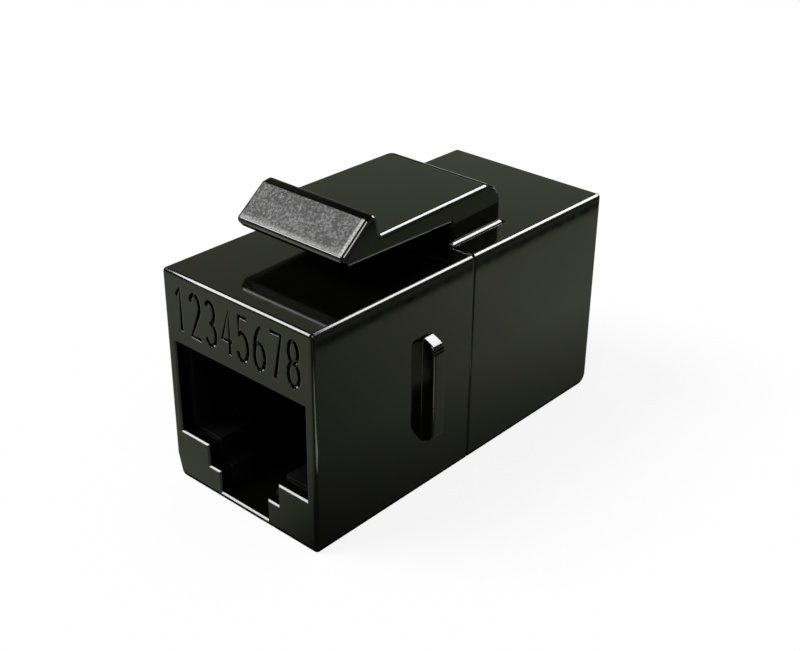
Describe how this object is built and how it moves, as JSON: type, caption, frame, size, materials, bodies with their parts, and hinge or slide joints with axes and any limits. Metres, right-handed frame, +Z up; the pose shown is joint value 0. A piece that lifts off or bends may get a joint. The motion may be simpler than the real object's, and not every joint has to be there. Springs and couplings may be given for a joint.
{
  "type": "ethernet feed-through coupler",
  "caption": "Keystone feed-through coupler: two modular jacks back to back in a split black housing, with side ribs and a sprung snap-in latch.",
  "frame": {"origin": "middle of the underside, halfway between the two port faces", "axes": "+X across the width, +Y from the front port to the rear port, +Z up towards the latch"},
  "size_m": [0.0166, 0.0314, 0.0216],
  "materials": {
    "housing": "gloss",
    "latch": "gloss, thumb face fine matte texture",
    "insert": "matte",
    "board": "satin solder mask",
    "contact": "gold plated"
  },
  "bodies": {
    "body": {"front_housing": "housing", "rear_housing": "housing", "front_jack_insert": "insert", "rear_jack_insert": "insert", "circuit_board": "board", "front_contact_1": "contact", "front_contact_2": "contact", "front_contact_3": "contact", "front_contact_4": "contact", "front_contact_5": "contact", "front_contact_6": "contact", "front_contact_7": "contact", "front_contact_8": "contact", "rear_contact_1": "contact", "rear_contact_2": "contact", "rear_contact_3": "contact", "rear_contact_4": "contact", "rear_contact_5": "contact", "rear_contact_6": "contact", "rear_contact_7": "contact", "rear_contact_8": "contact"},
    "latch": {"keystone_latch": "latch"}
  },
  "joints": [
    {"name": "latch_press", "type": "hinge", "parent": "body", "child": "latch", "pos_m": [0, 0.00326, 0.01505], "axis": [1, 0, 0], "range_deg": [0, 7], "stiffness_Nm_per_rad": 1.5}
  ]
}
